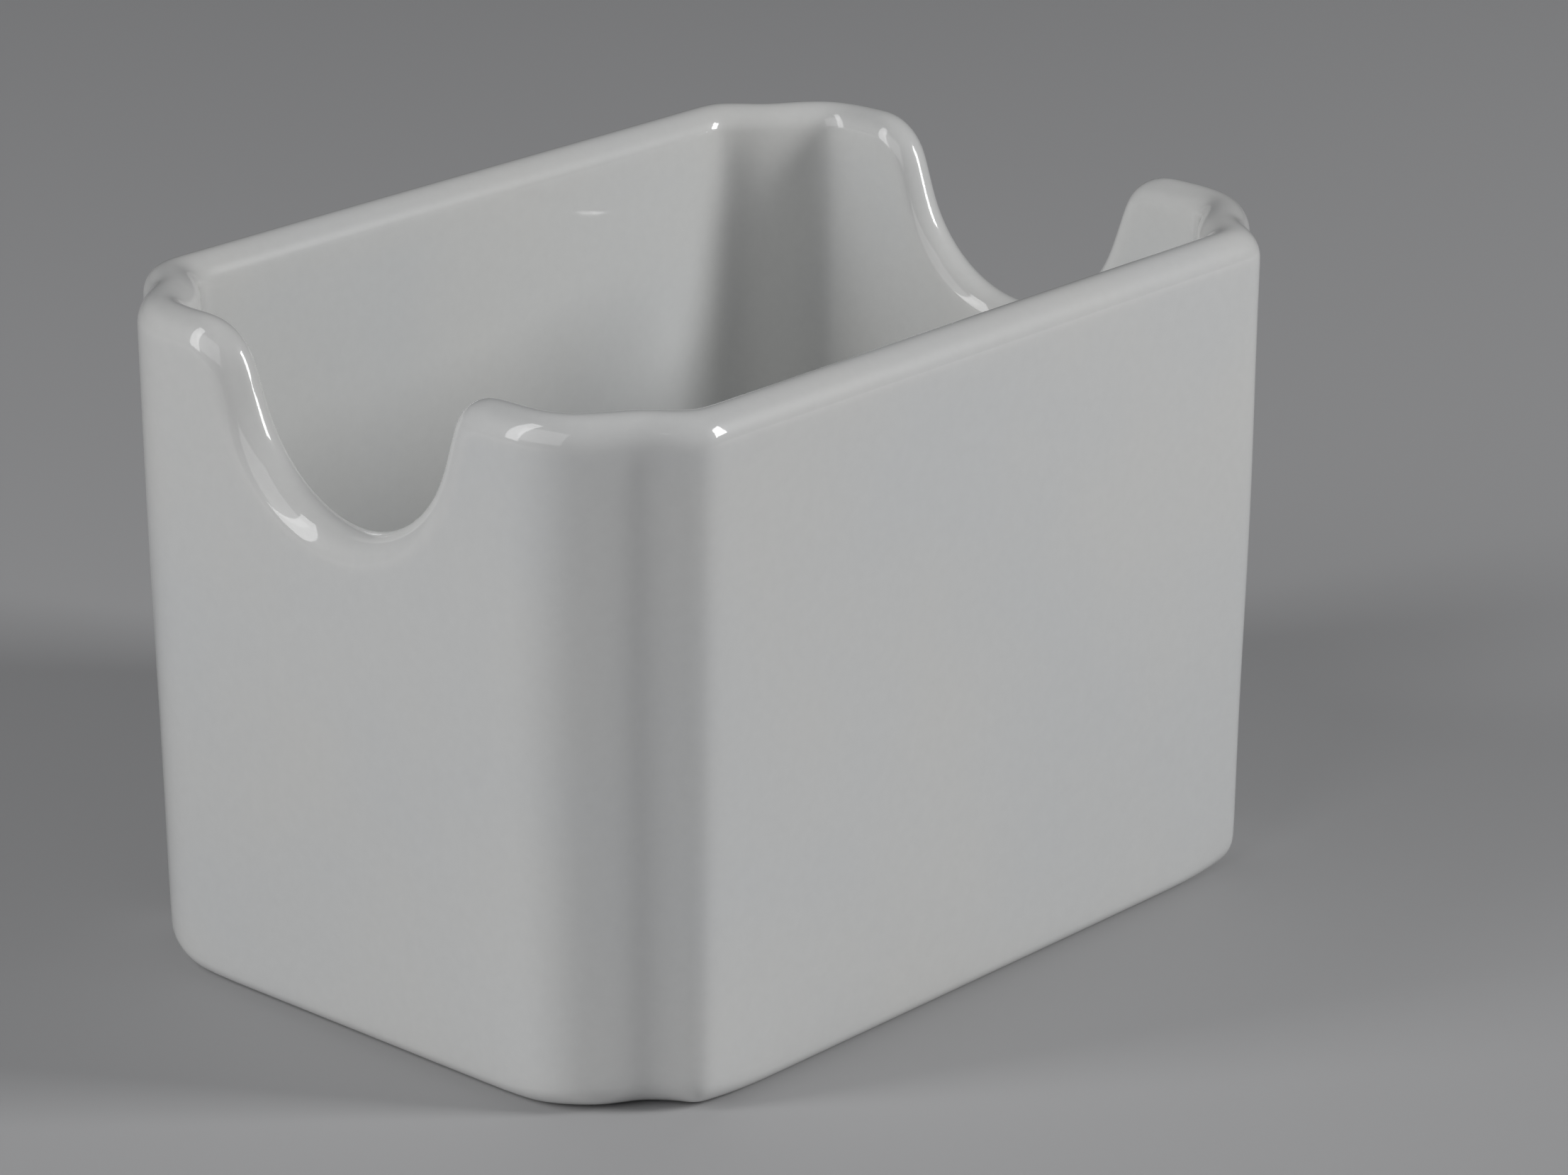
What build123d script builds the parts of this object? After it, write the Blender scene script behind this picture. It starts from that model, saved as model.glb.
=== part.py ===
from build123d import *
from math import sin, cos, tan, radians
import os

os.makedirs("parts", exist_ok=True)

# Sugar packet holder: one piece of pressed and glazed china. An oblong open
# well with tall straight walls, a shallow flute between two rounded ridges up
# each corner, and a round-bottomed dip in the middle of each short wall.
#
# Shared frame: origin at the centre of the foot plane, +X along the long
# side, +Y across, +Z up. All lengths in millimetres, angles in degrees.

# ---- overall size, measured at the rim
LENGTH = 95.25
WIDTH = 69.85
HEIGHT = 63.5

# ---- walls
WALL = 4.6             # wall thickness at the rim
DRAFT = 1.0            # outside walls lean in towards the foot
DRAFT_IN = 1.5         # inside walls lean in towards the floor
FLOOR_TOP = 6.0        # height of the inside floor above the table
LIP = 2.2              # rounding of each edge of the rim
FLOOR_FILLET = 2.8     # inside, where the walls meet the floor

# ---- fluted corners, outside (distances back from the sharp corner)
RIDGE_ALONG = 9.6      # ridge on the long wall, measured along X
RIDGE_ACROSS = 8.0     # ridge on the short wall, measured along Y
FLUTE_DEPTH = 1.6      # valley of the flute, in from the line of the ridges
FLUTE_SHIFT = 0.58     # where the valley lies between short and long ridge
RIDGE_R_SHORT = 7.0
RIDGE_R_LONG = 2.6
FLUTE_R = 9.0

# ---- fluted corners, inside
IN_RIDGE_ALONG = 8.0
IN_RIDGE_ACROSS = 7.2
IN_BULGE = 1.0
IN_RIDGE_R = 4.4
IN_BULGE_R = 8.0

# ---- dips in the short walls
DIP_DEPTH = 15.9
DIP_BOTTOM_R = 13.4
DIP_SHOULDER_R = 5.8
DIP_SIDE_LEAN = 19.5   # side of the dip, from upright

# ---- foot
FOOT_R = 2.0           # rounding where the outside meets the foot
FOOT_RING = 5.0        # width of the ring the holder stands on
RECESS_DEPTH = 1.2     # underside set up inside the ring
RECESS_R = 1.0


def corner_points(a, b, along, across, depth, shift):
    """Ridge, valley and ridge of the corner in the +X +Y quarter, going
    from the short wall (x = a) round to the long wall (y = b)."""
    p = Vector(a, b - across)
    q = Vector(a - along, b)
    run = q - p
    length = run.length
    inward = Vector(-run.Y, run.X) * (1.0 / length)
    if inward.X > 0:
        inward = inward * -1.0
    m = p + run * shift + inward * depth
    return [p, m, q]


def plan_points(a, b, along, across, depth, shift):
    """Closed plan outline, counter-clockwise, with the kind of each point."""
    c = corner_points(a, b, along, across, depth, shift)
    kinds = ["short", "flute", "long"]
    pts = []
    for sx, sy, turn in ((1, 1, False), (-1, 1, True), (-1, -1, False), (1, -1, True)):
        seq = list(zip(c, kinds))
        if turn:
            seq.reverse()
        for v, k in seq:
            pts.append(((v.X * sx, v.Y * sy), k))
    return pts


def near(vertices, points, kind):
    """Sketch corners that belong to one kind of outline point."""
    picked = []
    for v in vertices:
        for (x, y), k in points:
            if k == kind and abs(v.X - x) < 0.01 and abs(v.Y - y) < 0.01:
                picked.append(v)
    return picked


def level_edges(edges, z):
    """Edges that lie flat at height z."""
    return [e for e in edges
            if abs(e.bounding_box().min.Z - z) < 1e-3
            and abs(e.bounding_box().max.Z - z) < 1e-3]


def rim_edges(part):
    """Outer and inner edges of the rim: the rim is the flat top and the cut
    faces of the dips, whose normals all lie square to the walls' length."""
    rim = []
    for f in part.faces():
        c = f.bounding_box()
        top = c.min.Z > HEIGHT - 0.01
        dip_face = (c.min.Z > HEIGHT - DIP_DEPTH - 0.5 and c.max.X - c.min.X < WALL * 1.6
                    and abs(f.normal_at(f.center()).X) < 0.02)
        if top or dip_face:
            rim.append(f)
    count = {}
    for f in rim:
        for e in f.edges():
            m = e @ 0.5
            key = (round(m.X, 3), round(m.Y, 3), round(m.Z, 3))
            count.setdefault(key, []).append(e)
    return [v[0] for v in count.values() if len(v) == 1]


A, B = LENGTH / 2, WIDTH / 2
SHRINK = HEIGHT * tan(radians(DRAFT))      # the foot is this much smaller, each side
OUT = plan_points(A, B, RIDGE_ALONG, RIDGE_ACROSS, FLUTE_DEPTH, FLUTE_SHIFT)
INN = plan_points(A - WALL, B - WALL, IN_RIDGE_ALONG, IN_RIDGE_ACROSS, IN_BULGE, FLUTE_SHIFT)
REC = plan_points(A - SHRINK - FOOT_R - FOOT_RING, B - SHRINK - FOOT_R - FOOT_RING,
                  RIDGE_ALONG - 2.0, RIDGE_ACROSS - 2.0, 0.0, 0.5)
REC = [(p, k) for p, k in REC if k != "flute"]

# dip outline, half of it: bottom arc, straight lean, shoulder arc
lean = radians(DIP_SIDE_LEAN)
y1 = DIP_BOTTOM_R * cos(lean)
z1 = -DIP_DEPTH + DIP_BOTTOM_R * (1 - sin(lean))
z2 = -DIP_SHOULDER_R * (1 - sin(lean))
y2 = y1 + (z2 - z1) * tan(lean)
y3 = y2 + DIP_SHOULDER_R * cos(lean)
half = lean + (radians(90) - lean) / 2
ym = y3 - DIP_SHOULDER_R * cos(half)
zm = -DIP_SHOULDER_R + DIP_SHOULDER_R * sin(half)

with BuildPart() as holder_body:
    # outside, from the rim down to the foot
    with BuildSketch(Plane.XY.offset(HEIGHT)) as outline:
        with BuildLine():
            Polyline(*[p for p, k in OUT], close=True)
        make_face()
        fillet(near(outline.vertices(), OUT, "flute"), FLUTE_R)
        fillet(near(outline.vertices(), OUT, "short"), RIDGE_R_SHORT)
        fillet(near(outline.vertices(), OUT, "long"), RIDGE_R_LONG)
    extrude(amount=-HEIGHT, taper=DRAFT)

    # the well for the packets
    with BuildSketch(Plane.XY.offset(HEIGHT)) as well:
        with BuildLine():
            Polyline(*[p for p, k in INN], close=True)
        make_face()
        fillet(near(well.vertices(), INN, "flute"), IN_BULGE_R)
        fillet(near(well.vertices(), INN, "short"), IN_RIDGE_R)
        fillet(near(well.vertices(), INN, "long"), IN_RIDGE_R)
    extrude(amount=-(HEIGHT - FLOOR_TOP), taper=DRAFT_IN, mode=Mode.SUBTRACT)
    fillet(level_edges(holder_body.edges(), FLOOR_TOP), FLOOR_FILLET)

    # one dip through both short walls
    with BuildSketch(Plane.YZ) as dip:
        with BuildLine():
            ThreePointArc((-y1, HEIGHT + z1), (0, HEIGHT - DIP_DEPTH), (y1, HEIGHT + z1))
            Line((y1, HEIGHT + z1), (y2, HEIGHT + z2))
            ThreePointArc((y2, HEIGHT + z2), (ym, HEIGHT + zm), (y3, HEIGHT))
            Line((y3, HEIGHT), (y3, HEIGHT + 5))
            Line((y3, HEIGHT + 5), (-y3, HEIGHT + 5))
            Line((-y3, HEIGHT + 5), (-y3, HEIGHT))
            ThreePointArc((-y3, HEIGHT), (-ym, HEIGHT + zm), (-y2, HEIGHT + z2))
            Line((-y2, HEIGHT + z2), (-y1, HEIGHT + z1))
        make_face()
    extrude(amount=LENGTH, both=True, mode=Mode.SUBTRACT)

    # rounded rim, along the top and down through the dips
    fillet(rim_edges(holder_body.part), LIP)

    # rounded foot, and the shallow recess set up inside the foot ring
    fillet(level_edges(holder_body.edges(), 0), FOOT_R)
    with BuildSketch(Plane.XY) as recess:
        with BuildLine():
            Polyline(*[p for p, k in REC], close=True)
        make_face()
        fillet(recess.vertices(), 3.0)
    extrude(amount=RECESS_DEPTH, taper=20, mode=Mode.SUBTRACT)
    fillet(level_edges(holder_body.edges(), RECESS_DEPTH), RECESS_R)

holder_body.part.label = "holder_body"
print("volume", holder_body.part.volume, holder_body.part.bounding_box())
export_step(holder_body.part, "parts/holder_body.step")
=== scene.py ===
import math

import bpy
import bmesh
import numpy as np
from mathutils import Matrix, Vector


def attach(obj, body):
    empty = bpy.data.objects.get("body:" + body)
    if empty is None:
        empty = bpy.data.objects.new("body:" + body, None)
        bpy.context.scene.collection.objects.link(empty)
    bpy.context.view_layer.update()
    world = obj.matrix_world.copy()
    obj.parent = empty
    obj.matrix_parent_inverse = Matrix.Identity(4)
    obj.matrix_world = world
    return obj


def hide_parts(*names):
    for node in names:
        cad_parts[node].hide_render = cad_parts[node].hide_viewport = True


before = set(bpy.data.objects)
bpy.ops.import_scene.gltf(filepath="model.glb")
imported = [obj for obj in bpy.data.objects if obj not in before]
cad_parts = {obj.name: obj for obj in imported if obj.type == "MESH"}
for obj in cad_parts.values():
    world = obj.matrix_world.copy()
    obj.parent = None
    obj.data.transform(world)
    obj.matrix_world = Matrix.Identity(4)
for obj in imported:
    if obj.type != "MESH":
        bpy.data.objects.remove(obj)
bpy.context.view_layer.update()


# ---------------------------------------------------------------- sizes (mm)
P = dict(
    L=95.25, W=69.85, H=63.5, t=4.55,
    # outside corner: ridge on the short wall, valley of the flute, ridge on the long wall
    cx=9.6, cy=7.9, flute=1.62, shift=0.57, r_short=10.3, r_flute=12.0, r_long=3.17,
    # inside corner
    icx=8.0, icy=6.9, bulge=0.9, r_in=3.0, r_bulge=9.0,
    soft=0.8,
    draft=0.98, draft_in=2.0, bow=0.02,
    # dip in each short wall
    d=15.77, Rb=13.12, Rs=5.6, RsN=4.4, lean=19.1,
    # rim, foot, floor of the well, underside
    lip=3.04, lipi=2.38, crest=0.52, flare=-1.0, rf=1.6, rfc=2.1, floor=6.0, rfl=4.0,
    ring=5.0, recess=1.2,
)
CAM = dict(az=-0.8367577, el=0.3500299, roll=0.0005001, tx=-6.9563, ty=1.4649, tz=527.429, f=8005.461)
LIGHTS = (
    ("softbox_left", (-0.7647, 0.4066, 0.5), 1.0, 0.22, 0.94, 2.6),
    ("fill_left", (-0.8905, 0.0311, 0.454), 1.0, 0.80, 0.62, 2.0),
    ("softbox_right", (0.5068, -0.7514, 0.4226), 1.0, 0.22, 0.40, 4.5),
)
SKY = 0.10


def circ_gauss(a, sig):
    """Gaussian smoothing of a closed sequence; sig in samples."""
    n = len(a)
    f = np.fft.rfftfreq(n)
    g = np.exp(-2 * (np.pi * f * sig) ** 2)
    return np.fft.irfft(np.fft.rfft(a, axis=0) * (g[:, None] if a.ndim > 1 else g), n, axis=0)


def outline(a, b, cx, cy, depth, shift, rs, rm, rl, ds=0.1):
    """Closed plan outline from the middle of the +X wall, counter-clockwise, with its
    arc length, and the arc lengths of the corner marks (short ridge, valley, long ridge)."""
    p, q = np.array([a, b - cy]), np.array([a - cx, b])
    run = q - p
    inw = np.array([-run[1], run[0]]) / np.hypot(*run)
    if inw[0] > 0:
        inw = -inw
    m = p + run * shift + inw * depth
    V = []
    for sx, sy, rev in ((1, 1, 0), (-1, 1, 1), (-1, -1, 0), (1, -1, 1)):
        c = [(p, rs), (m, rm), (q, rl)]
        if rev:
            c = c[::-1]
        V += [(np.array([v[0] * sx, v[1] * sy]), r) for v, r in c]
    n = len(V)
    # the valley's radius is the largest that leaves the ridges their own rounding
    def turn(k):
        u1, u2 = V[k][0] - V[k - 1][0], V[(k + 1) % n][0] - V[k][0]
        return abs(np.arctan2(u1[0] * u2[1] - u1[1] * u2[0], u1 @ u2))
    for k in range(1, n, 3):
        room = min(np.hypot(*(V[k][0] - V[k + e][0])) - V[k + e][1] * np.tan(turn(k + e) / 2) for e in (-1, 1))
        V[k] = (V[k][0], max(0.3, min(V[k][1], (room - 0.05) / np.tan(turn(k) / 2))))
    out, marks, s = [], [], 0.0
    cur = np.array([a, 0.0])
    for k in range(n):
        v, r = V[k]
        nx = V[(k + 1) % n][0] if k < n - 1 else np.array([a, 0.0])
        u1 = v - cur; u1 = u1 / np.hypot(*u1)
        u2 = nx - v; u2 = u2 / np.hypot(*u2)
        ang = np.arctan2(u1[0] * u2[1] - u1[1] * u2[0], u1 @ u2)
        tl = r * abs(np.tan(ang / 2))
        e, x = v - u1 * tl, v + u2 * tl
        d = np.hypot(*(e - cur))
        m_ = max(2, int(d / ds))
        t = np.arange(m_) / m_
        out.append(cur + (e - cur) * t[:, None]); s += d
        la = r * abs(ang)
        m_ = max(2, int(la / ds))
        t = np.arange(m_) / m_
        sg = np.sign(ang)
        c = e + np.array([-u1[1], u1[0]]) * sg * r
        th = ang * t
        w = e - c
        out.append(c + np.stack([w[0] * np.cos(th) - w[1] * np.sin(th), w[0] * np.sin(th) + w[1] * np.cos(th)], 1))
        marks.append(s + la / 2); s += la
        cur = x
    e = np.array([a, 0.0])
    d = np.hypot(*(e - cur))
    m_ = max(2, int(d / ds)); t = np.arange(m_) / m_
    out.append(cur + (e - cur) * t[:, None]); s += d
    A = np.concatenate(out)
    # resample evenly
    B = np.vstack([A, A[:1]])
    q = np.r_[0, np.cumsum(np.hypot(*np.diff(B, axis=0).T))]
    N = int(round(q[-1] / ds / 8)) * 8
    u = np.arange(N) * q[-1] / N
    R = np.stack([np.interp(u, q, B[:, 0]), np.interp(u, q, B[:, 1])], 1)
    return R, q[-1], np.array(marks) * (q[-1] / s)


def normals2(C):
    T = np.roll(C, -1, 0) - np.roll(C, 1, 0)
    T /= np.hypot(*T.T)[:, None]
    return np.stack([T[:, 1], -T[:, 0]], 1)


def dip_half(d, Rb, Rs, lean):
    """Right half of the dip: y and z below the rim, from its lowest point to the rim."""
    be = np.radians(lean)
    th = np.linspace(0, np.pi / 2 - be, 80)
    y1, z1 = Rb * np.sin(th), -d + Rb - Rb * np.cos(th)
    zs = -Rs * (1 - np.sin(be))
    L = (zs - z1[-1]) / np.cos(be)
    t = np.linspace(0, 1, 20)[1:-1]
    y2, z2 = y1[-1] + L * np.sin(be) * t, z1[-1] + L * np.cos(be) * t
    cy = y1[-1] + L * np.sin(be) + Rs * np.cos(be)
    ph = np.linspace(be, np.pi / 2, 60)
    y3, z3 = cy - Rs * np.cos(ph), -Rs + Rs * np.sin(ph)
    return np.r_[y1, y2, y3], np.r_[z1, z2, z3]


def grid(p=P, NU=400, n_low=16, n_lip=16, seed=7):
    """Rows of points (rows, NU, 3) from the foot, up the outside, over the rim and down
    the well to the edge of its floor; and row tags."""
    L, W, H, t = p['L'], p['W'], p['H'], p['t']
    a, b = L / 2, W / 2
    Co, So, mo = outline(a, b, p['cx'], p['cy'], p['flute'], p['shift'], p['r_short'], p['r_flute'], p['r_long'])
    Ci, Si, mi = outline(a - t, b - t, p['icx'], p['icy'], p['bulge'], p['shift'], p['r_in'], p['r_bulge'], p['r_in'])
    Co = circ_gauss(Co, p['soft'] / (So / len(Co)))
    Ci = circ_gauss(Ci, p['soft'] / (Si / len(Ci)))
    No, Ni = normals2(Co), normals2(Ci)
    uo, ui = np.arange(len(Co) + 1) * So / len(Co), np.arange(len(Ci) + 1) * Si / len(Ci)
    wrap = lambda A: np.vstack([A, A[:1]])
    Co, Ci, No, Ni = wrap(Co), wrap(Ci), wrap(No), wrap(Ni)

    yd, zd = dip_half(p['d'], p['Rb'], p['Rs'], p['lean'])
    wd = yd[-1]
    # matched stations, outside and inside: middle of wall, end of dip, ridge, valley, ridge, middle of wall ...
    kd = min(wd, b - t - p['icy'] - 0.6)
    ko, ki = [0.0, kd], [0.0, kd]
    h = [So / 2, Si / 2]
    for k, m in ((ko, mo), (ki, mi)):
        S = So if k is ko else Si
        kk = kd + (p['flare'] if k is ki else 0.0)
        k[1] = kk
        k += [m[0], m[1], m[2], S / 4, m[3], m[4], m[5], S / 2 - kk, S / 2]
    ko = np.array(ko); ki = np.array(ki)
    ko = np.r_[ko, So - ko[::-1][1:]]; ki = np.r_[ki, Si - ki[::-1][1:]]
    # a gently smoothed one-to-one map between the two outlines
    g = np.linspace(0, So, 4001)
    mp = np.interp(g, ko, ki) - g * Si / So
    mp = np.r_[circ_gauss(mp[:-1], 1.2 / (So / 4000)), 0]
    mp[-1] = mp[0]
    to_in = lambda s: np.interp(np.mod(s, So), g, mp) + np.mod(s, So) * Si / So

    # rim line in (arc length, height), walked evenly with more steps in the dips
    # (the shoulders on the -Y side are a little sharper than those on the +Y side)
    yn, zn = dip_half(p['d'], p['Rb'], p['RsN'], p['lean'])
    wn = yn[-1]
    fy, fz = np.r_[-yd[::-1], yn[1:]], np.r_[zd[::-1], zn[1:]]
    q0 = np.stack([yd, H + zd], 1)
    f1 = np.linspace(wd, So / 2 - wd, 400)[1:-1]
    c2 = np.stack([So / 2 + fy, H + fz], 1)
    f2 = np.linspace(So / 2 + wn, So - wn, 400)[1:-1]
    q4 = np.stack([So - yn[::-1], H + zn[::-1]], 1)
    C = np.vstack([q0, np.stack([f1, np.full(len(f1), H)], 1), c2, np.stack([f2, np.full(len(f2), H)], 1), q4])
    dd = np.r_[0, np.cumsum(np.hypot(*np.diff(C, axis=0).T))]
    # density: finer round corners and shoulders
    cur_s = C[:, 0]
    dens = np.ones(len(dd))
    for mk in list(mo):
        dens += 1.3 * np.exp(-0.5 * ((cur_s - mk) / 3.0) ** 2)
    dens *= 1.0
    w = np.r_[0, np.cumsum(0.5 * (dens[1:] + dens[:-1]) * np.diff(dd))]
    u = np.interp(np.arange(NU) * w[-1] / NU, w, dd)
    cs, cz = np.interp(u, dd, C[:, 0]), np.interp(u, dd, C[:, 1])
    e = 0.08
    pe = dd[-1]
    f = lambda x, k: np.interp(np.mod(x, pe), dd, C[:, k])
    Ts = f(u + e, 0) - f(u - e, 0); Ts = np.where(Ts < -So / 2, Ts + So, Ts)
    Tz = f(u + e, 1) - f(u - e, 1)
    m = np.hypot(Ts, Tz); Ts /= m; Tz /= m
    Ms, Mz = -Tz, Ts                      # points out of the material, square to the rim

    dr, dri = np.tan(np.radians(p['draft'])), np.tan(np.radians(p['draft_in']))

    def ev(A, uu, s, S):
        s = np.mod(s, S)
        return np.stack([np.interp(s, uu, A[:, 0]), np.interp(s, uu, A[:, 1])], -1)

    def inward(N, S, w):
        """Directions for stepping w inward without folding at the ridges: the normals, smoothed
        over a length that grows with the step, and stretched so straight walls stay parallel."""
        if w < 0.05:
            return N
        q = circ_gauss(N[:-1], (0.95 * w + 0.8) / (S / (len(N) - 1)))
        q /= np.hypot(*q.T)[:, None]
        q /= np.clip((q * N[:-1]).sum(1), 0.82, 1)[:, None]
        q = circ_gauss(q, 0.5 / (S / (len(N) - 1)))
        return wrap(q)

    def X(s, z, fr, inset=0.0, inset_in=0.0):
        z = np.broadcast_to(z, s.shape)
        inset = np.broadcast_to(inset, s.shape)
        inset_in = np.broadcast_to(inset_in, s.shape)
        zz = np.clip(z / H, 0, 1)
        bow = p['bow'] * np.sin(np.pi * zz)
        go = (H - z) * dr - bow
        gi = (H - z) * dri - bow
        o = ev(Co, uo, s, So) - ev(inward(No, So, go.mean()), uo, s, So) * go[:, None] \
            - ev(inward(No, So, go.mean() + inset.mean()), uo, s, So) * inset[:, None]
        si = to_in(s)
        i = ev(Ci, ui, si, Si) - ev(inward(Ni, Si, gi.mean()), ui, si, Si) * gi[:, None] \
            - ev(inward(Ni, Si, gi.mean() + inset_in.mean()), ui, si, Si) * inset_in[:, None]
        fr = np.broadcast_to(fr, s.shape)[:, None]
        return np.concatenate([o * (1 - fr) + i * fr, z[:, None]], 1)

    rows, tags = [], []
    al, ali, fc = p['lip'], p['lipi'], p['crest']
    s1, z1 = cs - al * Ms, cz - al * Mz
    s2, z2 = cs - ali * Ms, cz - ali * Mz
    rf = p['rf'] * np.ones(NU)
    for mk in mo:
        dd_ = np.abs(cs - mk); dd_ = np.minimum(dd_, So - dd_)
        rf = rf + p['rfc'] * np.exp(-0.5 * (dd_ / 3.5) ** 2) * 0.5
    # the base of each column: same place along the wall
    sb = cs
    # underside: shallow recess, rounded step down, flat foot ring
    rm, ring, rec = rf.mean(), p['ring'], p['recess']
    q = np.radians([70, 45, 20])
    for w, sg in ((6.4, 7.0), (4.2, 4.0), (2.6, 1.5)):   # the bump of the flutes dies away inward
        r_ = X(sb, rec, 0.0, inset=rm + ring + w)
        r_[:, :2] = circ_gauss(r_[:, :2], sg)
        rows.append(r_); tags.append('recess')
    for an in q:
        rows.append(X(sb, rec - 0.55 + 0.55 * np.sin(an), 0.0, inset=rm + ring + 0.3 + 1.1 * (1 - np.cos(an)))); tags.append('recess')
    rows.append(X(sb, rec * 0.52, 0.0, inset=rm + ring + 0.15)); tags.append('recess')
    for an in q:
        rows.append(X(sb, 0.35 * (1 - np.cos(an)), 0.0, inset=rm + ring - 0.9 + 0.9 * np.sin(an))); tags.append('step')
    for w in (ring - 1.2, ring * 0.5, 0.8):
        k = w / ring
        rows.append(X(sb, 0.0, 0.0, inset=rf * (1 - k) + rm * k + w)); tags.append('ring')
    for k in range(7):                       # foot rounding, from the ring up
        an = np.pi / 2 * k / 6
        rows.append(X(sb, rf * (1 - np.cos(an)), 0.0, inset=rf * (1 - np.sin(an)))); tags.append('foot')
    sm = lambda v: v
    for v in np.linspace(0, 1, n_low + 1)[1:]:
        rows.append(X(sb * (1 - v) + s1 * v, rf * (1 - v) + z1 * v, 0.0)); tags.append('wall')
    for k in range(1, n_lip + 1):
        an = np.pi * k / n_lip
        if 2 * k <= n_lip:
            off, fr = -al * (1 - np.sin(an)), fc * (1 - np.cos(an))
        else:
            off, fr = -ali * (1 - np.sin(an)), fc - (1 - fc) * np.cos(an)
        rows.append(X(cs + off * Ms, cz + off * Mz, fr)); tags.append('lip')
    zf, rr = p['floor'], p['rfl']
    for v in np.linspace(1, 0, n_low + 1)[1:]:
        rows.append(X(sb * (1 - v) + s2 * v, (zf + rr) * (1 - v) + z2 * v, 1.0)); tags.append('well')
    for k in range(1, 7):                    # rounding where the well meets its floor
        an = np.pi / 2 * k / 6
        rows.append(X(sb, (zf + rr * (1 - np.sin(an))) * np.ones(NU), 1.0, inset_in=rr * (1 - np.cos(an)))); tags.append('fillet')
    for w, sg in ((1.2, 1.5), (2.8, 4.0), (4.8, 7.0)):   # flat of the well's floor, same again
        r_ = X(sb, zf, 1.0, inset_in=rr + w)
        r_[:, :2] = circ_gauss(r_[:, :2], sg)
        rows.append(r_); tags.append('floor')
    return np.array(rows), tags


# ---------------------------------------------------------------- extra rows and patches
def ring_patch(ring, k1):
    """All-quad patch inside a closed ring: the ring is cut into four sides at index k1 and
    its mirror images, and the inside is blended from them. Returns (grid of points, ring ids)."""
    n = len(ring)
    half = n // 2
    idx = lambda a, b: [i % n for i in range(a, b + 1)]
    right = idx(-k1, k1)                       # +X side, y rising
    top = idx(k1, half - k1)                   # +Y side, x falling
    left = idx(half - k1, half + k1)           # -X side, y falling
    bottom = idx(half + k1, n - k1)            # -Y side, x rising
    ny, nx = len(right) - 1, len(top) - 1
    T, B = ring[top[::-1]], ring[bottom]       # both x rising
    Lf, R = ring[left[::-1]], ring[right]      # both y rising
    # how far along each side a station is, by its own length
    def frac(Q):
        d = np.r_[0, np.cumsum(np.linalg.norm(np.diff(Q, axis=0), axis=1))]
        return d / d[-1]
    u = 0.5 * (frac(T) + frac(B))
    v = 0.5 * (frac(Lf) + frac(R))
    U, V = u[:, None, None], v[None, :, None]
    G = ((1 - V) * B[:, None] + V * T[:, None] + (1 - U) * Lf[None] + U * R[None]
         - ((1 - U) * (1 - V) * B[0] + U * (1 - V) * B[-1] + (1 - U) * V * T[0] + U * V * T[-1]))
    ids = -np.ones((nx + 1, ny + 1), int)
    ids[:, 0] = bottom; ids[:, -1] = top[::-1]; ids[0, :] = left[::-1]; ids[-1, :] = right
    return G, ids


def waves(co, seed, size, n=9):
    """Slow smooth unevenness, about -1 to 1, the same every run."""
    rng = np.random.RandomState(seed)
    out = np.zeros(len(co))
    for _ in range(n):
        k = rng.normal(size=3); k /= np.linalg.norm(k)
        out += np.sin(co @ k * (2 * np.pi / (size * rng.uniform(0.7, 1.6))) + rng.uniform(0, 6.28))
    return out / math.sqrt(n)


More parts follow.
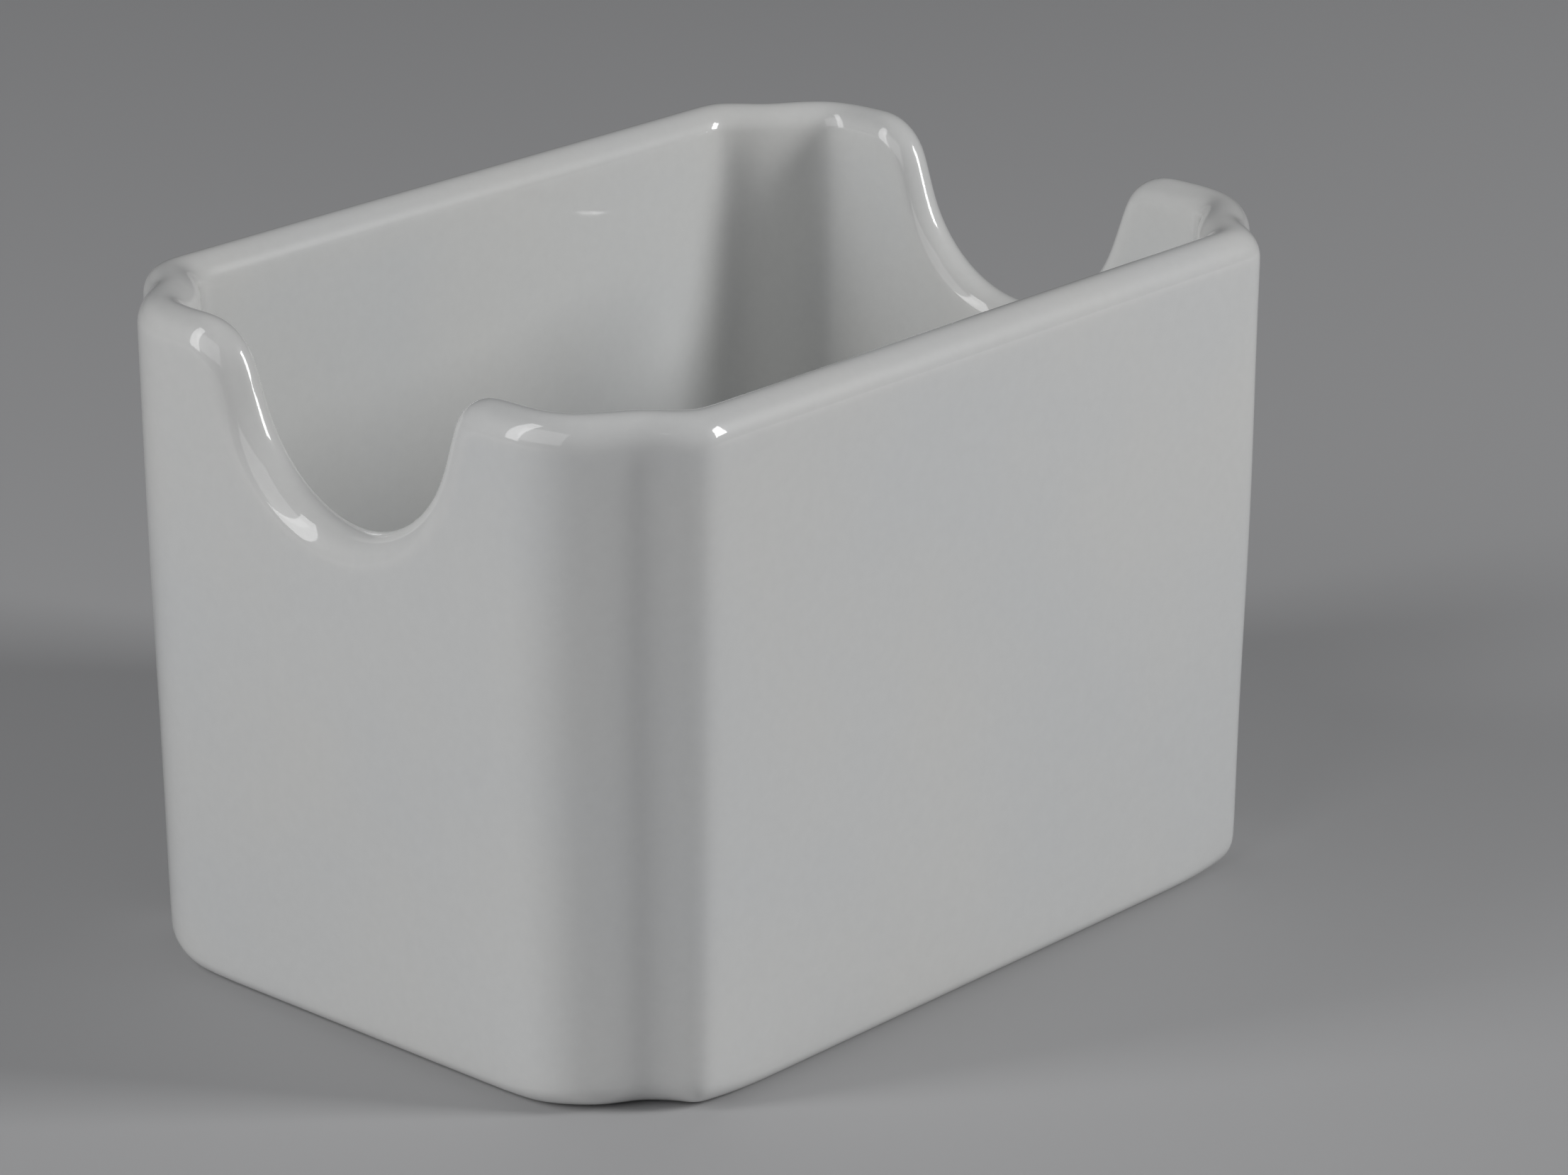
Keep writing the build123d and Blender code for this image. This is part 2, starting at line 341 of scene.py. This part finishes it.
def build_holder():
    p = P
    V, tags = grid(p, NU=320, n_low=16, n_lip=18)
    NU = V.shape[1]
    a, b = p['L'] / 2, p['W'] / 2
    rows, rtag = V, tags
    nR = len(rows)
    co = rows.reshape(-1, 3)
    vid = lambda r, c: r * NU + c % NU
    faces, fmat = [], []
    for r in range(nR - 1):
        bare = rtag[r] == 'ring' or (rtag[r] == 'step') or (rtag[r + 1] == 'ring')
        for c in range(NU):
            faces.append((vid(r, c), vid(r, c + 1), vid(r + 1, c + 1), vid(r + 1, c)))
            fmat.append(1 if (rtag[r] == 'ring' and rtag[r + 1] in ('ring', 'foot')) or (rtag[r] == 'step' and rtag[r + 1] == 'ring') else 0)
    # which column stands nearest the middle of a corner
    ang = np.abs(rows[nR // 2][:, 0] / a - rows[nR // 2][:, 1] / b)
    k1 = int(np.argmin(ang[: NU // 4 + 20]))
    extra = []
    nco = len(co)
    for ring_row, flip in ((0, True), (nR - 1, False)):
        G, ids = ring_patch(rows[ring_row], k1)
        gid = np.where(ids >= 0, ids + ring_row * NU, -1)
        for i in range(G.shape[0]):
            for j in range(G.shape[1]):
                if gid[i, j] < 0:
                    gid[i, j] = nco + len(extra)
                    extra.append(G[i, j])
        for i in range(G.shape[0] - 1):
            for j in range(G.shape[1] - 1):
                f = (gid[i, j], gid[i + 1, j], gid[i + 1, j + 1], gid[i, j + 1])
                faces.append(f[::-1] if flip else f)
                fmat.append(0)
    co = np.vstack([co, np.array(extra)])
    # slow unevenness of a pressed and hand-finished body, kept off the foot
    up = np.clip(co[:, 2] / 8.0, 0, 1)
    wob = waves(co, 3, 34.0)
    wob2 = waves(co, 5, 30.0)
    co = co + np.column_stack([wob * up, wob2 * up, 0.5 * waves(co, 8, 40.0) * up * up]) * 0.045
    co *= 0.001

    me = bpy.data.meshes.new("holder_china")
    me.from_pydata([tuple(v) for v in co], [], [tuple(int(i) for i in f) for f in faces])
    me.validate()
    me.update()
    for f, m in zip(me.polygons, fmat):
        f.material_index = m
        f.use_smooth = True
    ob = bpy.data.objects.new("holder_china", me)
    bpy.context.scene.collection.objects.link(ob)
    bm = bmesh.new(); bm.from_mesh(me)
    bmesh.ops.recalc_face_normals(bm, faces=bm.faces)
    bm.to_mesh(me); bm.free()
    # how thin the glaze runs: over the rim and round the foot
    att = me.attributes.new("glaze_thin", 'FLOAT', 'POINT')
    thin = np.zeros(len(co))
    for r in range(nR):
        if rtag[r] == 'lip':
            thin[r * NU:(r + 1) * NU] = 0.6
        if rtag[r] == 'foot':
            thin[r * NU:(r + 1) * NU] = 0.35
    att.data.foreach_set("value", thin)
    # painted shade: how much darker grey is painted down the outside flutes, and along the inside corner lines
    half = (p['L'] / 2, p['W'] / 2)
    p0, q0 = np.array([half[0], half[1] - p['cy']]), np.array([half[0] - p['cx'], half[1]])
    run = (q0 - p0) / np.hypot(*(q0 - p0))
    mid = p0 + (q0 - p0) * p['shift']
    ab = np.abs(co[:, :2]) * 1000.0
    along = (ab - mid) @ run
    across = (ab - mid) @ np.array([-run[1], run[0]])
    outside = np.zeros(len(co)); inside = np.zeros(len(co))
    for r in range(nR):
        k = slice(r * NU, (r + 1) * NU)
        if rtag[r] in ('foot', 'wall'):
            outside[k] = 1.0
        elif rtag[r] == 'lip':
            nth = sum(1 for u in rtag[:r] if u == 'lip')
            outside[k] = max(0.0, 1.0 - nth / 5.0)
        elif rtag[r] in ('well', 'fillet'):
            inside[k] = 1.0
    painted_shade = outside * np.exp(-0.5 * (along / 2.7) ** 2) * (np.abs(across) < 5.0)
    for c in ((half[0] - p['t'] - 0.7, half[1] - p['t'] - p['icy']), (half[0] - p['t'] - p['icx'], half[1] - p['t'] - 0.7)):
        painted_shade = np.maximum(painted_shade, 0.55 * inside * np.exp(-0.5 * (((ab - np.array(c)) ** 2).sum(1) / 1.5 ** 2)))
    att = me.attributes.new("painted_shade_mask", 'FLOAT', 'POINT')
    att.data.foreach_set("value", painted_shade)
    sub = ob.modifiers.new("smooth", 'SUBSURF')
    sub.levels = 1; sub.render_levels = 1
    return ob


# ---------------------------------------------------------------- materials
class Nodes:
    def __init__(self, name):
        self.m = bpy.data.materials.new(name)
        self.m.use_nodes = True
        self.t = self.m.node_tree
        self.t.nodes.clear()
        self.out = self.t.nodes.new("ShaderNodeOutputMaterial")
        self.bsdf = self.t.nodes.new("ShaderNodeBsdfPrincipled")
        self.t.links.new(self.bsdf.outputs[0], self.out.inputs[0])

    def add(self, kind, **vals):
        n = self.t.nodes.new(kind)
        for k, v in vals.items():
            setattr(n, k, v)
        return n

    def link(self, a, b):
        self.t.links.new(a, b)

    def math(self, op, a, b=None, clamp=False):
        n = self.add("ShaderNodeMath", operation=op, use_clamp=clamp)
        for i, v in enumerate((a, b)):
            if v is None:
                continue
            if isinstance(v, (int, float)):
                n.inputs[i].default_value = v
            else:
                self.link(v, n.inputs[i])
        return n.outputs[0]

    def mix(self, fac, a, b, blend='MIX'):
        n = self.add("ShaderNodeMix", data_type='RGBA', blend_type=blend)
        for i, v in ((0, fac), (6, a), (7, b)):
            if hasattr(v, "links"):
                self.link(v, n.inputs[i])
            else:
                n.inputs[i].default_value = v
        return n.outputs[2]

    def noise(self, co, scale, detail=3.0, rough=0.5):
        n = self.add("ShaderNodeTexNoise")
        n.inputs["Scale"].default_value = scale
        n.inputs["Detail"].default_value = detail
        n.inputs["Roughness"].default_value = rough
        self.link(co, n.inputs["Vector"])
        return n.outputs[0]


def glaze_material():
    """White gloss glaze over china: slightly uneven tone, fine ripple, and the odd dark speck."""
    k = Nodes("white_glaze")
    co = k.add("ShaderNodeTexCoord").outputs["Object"]
    base = (0.82, 0.82, 0.803, 1)
    cool = (0.80, 0.81, 0.808, 1)
    slow = k.noise(co, 38.0, 2.0)
    ramp = k.add("ShaderNodeMapRange"); ramp.inputs[1].default_value = 0.35; ramp.inputs[2].default_value = 0.65
    k.link(slow, ramp.inputs[0])
    tone = k.mix(ramp.outputs[0], base, cool)
    # the body shows a touch warmer where the glaze runs thin over the rim
    thin = k.add("ShaderNodeAttribute", attribute_name="glaze_thin")
    tone = k.mix(k.math('MULTIPLY', thin.outputs["Fac"], 0.5), tone, (0.835, 0.83, 0.81, 1))
    # and painted shade: a darker grey down the outside flutes and along the inside corner lines
    painted_shade = k.add("ShaderNodeAttribute", attribute_name="painted_shade_mask")
    tone = k.mix(k.math('MULTIPLY', painted_shade.outputs["Fac"], 0.62), tone, (0.64, 0.645, 0.645, 1))
    # fine mottle in the body under the glaze
    mott = k.noise(co, 900.0, 4.0, 0.6)
    m2 = k.add("ShaderNodeMapRange"); m2.inputs[1].default_value = 0.3; m2.inputs[2].default_value = 0.7
    m2.inputs[3].default_value = 0.985; m2.inputs[4].default_value = 1.01
    k.link(mott, m2.inputs[0])
    mm = k.add("ShaderNodeMix", data_type='RGBA', blend_type='MULTIPLY')
    mm.inputs[0].default_value = 1.0
    k.link(tone, mm.inputs[6]); k.link(m2.outputs[0], mm.inputs[7])
    tone = mm.outputs[2]
    # iron specks: one small spot in a few cells of a scattered grid
    for scale, size, keep, col in ((90.0, 0.011, 0.86, (0.30, 0.28, 0.25, 1)), (170.0, 0.013, 0.93, (0.38, 0.36, 0.33, 1))):
        vor = k.add("ShaderNodeTexVoronoi", feature='F1')
        vor.inputs["Scale"].default_value = scale
        k.link(co, vor.inputs["Vector"])
        spot = k.add("ShaderNodeMapRange"); spot.inputs[1].default_value = size * 1.9; spot.inputs[2].default_value = size
        k.link(vor.outputs["Distance"], spot.inputs[0])
        sep = k.add("ShaderNodeSeparateColor"); k.link(vor.outputs["Color"], sep.inputs[0])
        pick = k.math('GREATER_THAN', sep.outputs[0], keep)
        f = k.math('MULTIPLY', spot.outputs[0], pick)
        tone = k.mix(k.math('MULTIPLY', f, 0.8), tone, col)
    k.link(tone, k.bsdf.inputs["Base Color"])
    # body roughness under the glaze wanders a little
    rr = k.add("ShaderNodeMapRange"); rr.inputs[3].default_value = 0.30; rr.inputs[4].default_value = 0.42
    k.link(k.noise(co, 60.0, 3.0), rr.inputs[0])
    k.link(rr.outputs[0], k.bsdf.inputs["Roughness"])
    k.bsdf.inputs["Specular IOR Level"].default_value = 0.25
    k.bsdf.inputs["Coat Weight"].default_value = 1.0
    k.bsdf.inputs["Coat Roughness"].default_value = 0.045
    k.bsdf.inputs["Coat IOR"].default_value = 1.5
    k.bsdf.inputs["Subsurface Weight"].default_value = 0.0
    # fine ripple of the fired glaze, and a slower swell
    h = k.math('ADD', k.math('MULTIPLY', k.noise(co, 420.0, 2.0), 0.35), k.noise(co, 110.0, 2.0))
    bump = k.add("ShaderNodeBump"); bump.inputs["Strength"].default_value = 0.10; bump.inputs["Distance"].default_value = 0.00012
    k.link(h, bump.inputs["Height"])
    k.link(bump.outputs[0], k.bsdf.inputs["Normal"])
    k.link(bump.outputs[0], k.bsdf.inputs["Coat Normal"])
    return k.m


def bisque_material():
    """Bare fired body where the glaze was wiped off the foot."""
    k = Nodes("bare_foot")
    co = k.add("ShaderNodeTexCoord").outputs["Object"]
    n = k.noise(co, 1400.0, 5.0, 0.65)
    k.link(k.mix(n, (0.70, 0.67, 0.61, 1), (0.60, 0.57, 0.52, 1)), k.bsdf.inputs["Base Color"])
    r = k.add("ShaderNodeMapRange"); r.inputs[3].default_value = 0.75; r.inputs[4].default_value = 0.95
    k.link(n, r.inputs[0]); k.link(r.outputs[0], k.bsdf.inputs["Roughness"])
    bump = k.add("ShaderNodeBump"); bump.inputs["Strength"].default_value = 0.5; bump.inputs["Distance"].default_value = 0.0001
    k.link(n, bump.inputs["Height"]); k.link(bump.outputs[0], k.bsdf.inputs["Normal"])
    return k.m


holder = build_holder()
holder.data.materials.append(glaze_material())
holder.data.materials.append(bisque_material())
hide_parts("holder_body")
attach(holder, "root")


# ---------------------------------------------------------------- floor, light, camera
def stage():
    me = bpy.data.meshes.new("floor")
    s = 4.0
    me.from_pydata([(-s, -s, 0), (s, -s, 0), (s, s, 0), (-s, s, 0)], [], [(0, 1, 2, 3)])
    fl = bpy.data.objects.new("floor", me)
    bpy.context.scene.collection.objects.link(fl)
    fl.location.z = -0.00002
    k = Nodes("floor_pale")
    k.bsdf.inputs["Base Color"].default_value = (0.52, 0.52, 0.525, 1)
    k.bsdf.inputs["Roughness"].default_value = 0.85
    k.bsdf.inputs["Specular IOR Level"].default_value = 0.2
    me.materials.append(k.m)

    w = bpy.data.worlds.new("studio")
    bpy.context.scene.world = w
    w.use_nodes = True
    bg = w.node_tree.nodes["Background"]
    bg.inputs[0].default_value = (0.93, 0.95, 1.0, 1)
    bg.inputs[1].default_value = SKY

    def area(name, direction, dist, size, size_y, power, target=(0, 0, 0.035)):
        d = Vector(direction).normalized()
        ld = bpy.data.lights.new(name, 'AREA')
        ld.shape = 'RECTANGLE'; ld.size = size; ld.size_y = size_y; ld.energy = power
        lo = bpy.data.objects.new(name, ld)
        lo.location = Vector(target) + d * dist
        lo.rotation_mode = 'QUATERNION'
        lo.rotation_quaternion = (-d).to_track_quat('-Z', 'Y')
        bpy.context.scene.collection.objects.link(lo)
    for spec in LIGHTS:
        area(*spec)

    cam = bpy.data.cameras.new("camera")
    cam.sensor_fit = 'HORIZONTAL'; cam.sensor_width = 36.0
    cam.lens = 36.0 * CAM['f'] / 2212.0
    cam.clip_start = 0.02; cam.clip_end = 20
    co = bpy.data.objects.new("camera", cam)
    az, el, roll = CAM['az'], CAM['el'], CAM['roll']
    back = Vector((math.sin(az) * math.cos(el), -math.cos(az) * math.cos(el), math.sin(el)))
    right = Vector((math.cos(az), math.sin(az), 0))
    up = back.cross(right)
    r2 = right * math.cos(roll) + up * math.sin(roll)
    u2 = up * math.cos(roll) - right * math.sin(roll)
    t = Vector((CAM['tx'], CAM['ty'], CAM['tz'])) * 0.001
    loc = Vector((0, 0, P['H'] * 0.0005)) - (r2 * t.x + u2 * t.y - back * t.z)
    M = Matrix(((r2.x, u2.x, back.x, loc.x), (r2.y, u2.y, back.y, loc.y), (r2.z, u2.z, back.z, loc.z), (0, 0, 0, 1)))
    co.matrix_world = M
    bpy.context.scene.collection.objects.link(co)
    bpy.context.scene.camera = co
    bpy.context.scene.view_settings.view_transform = 'Standard'
    bpy.context.scene.view_settings.look = 'None'


stage()
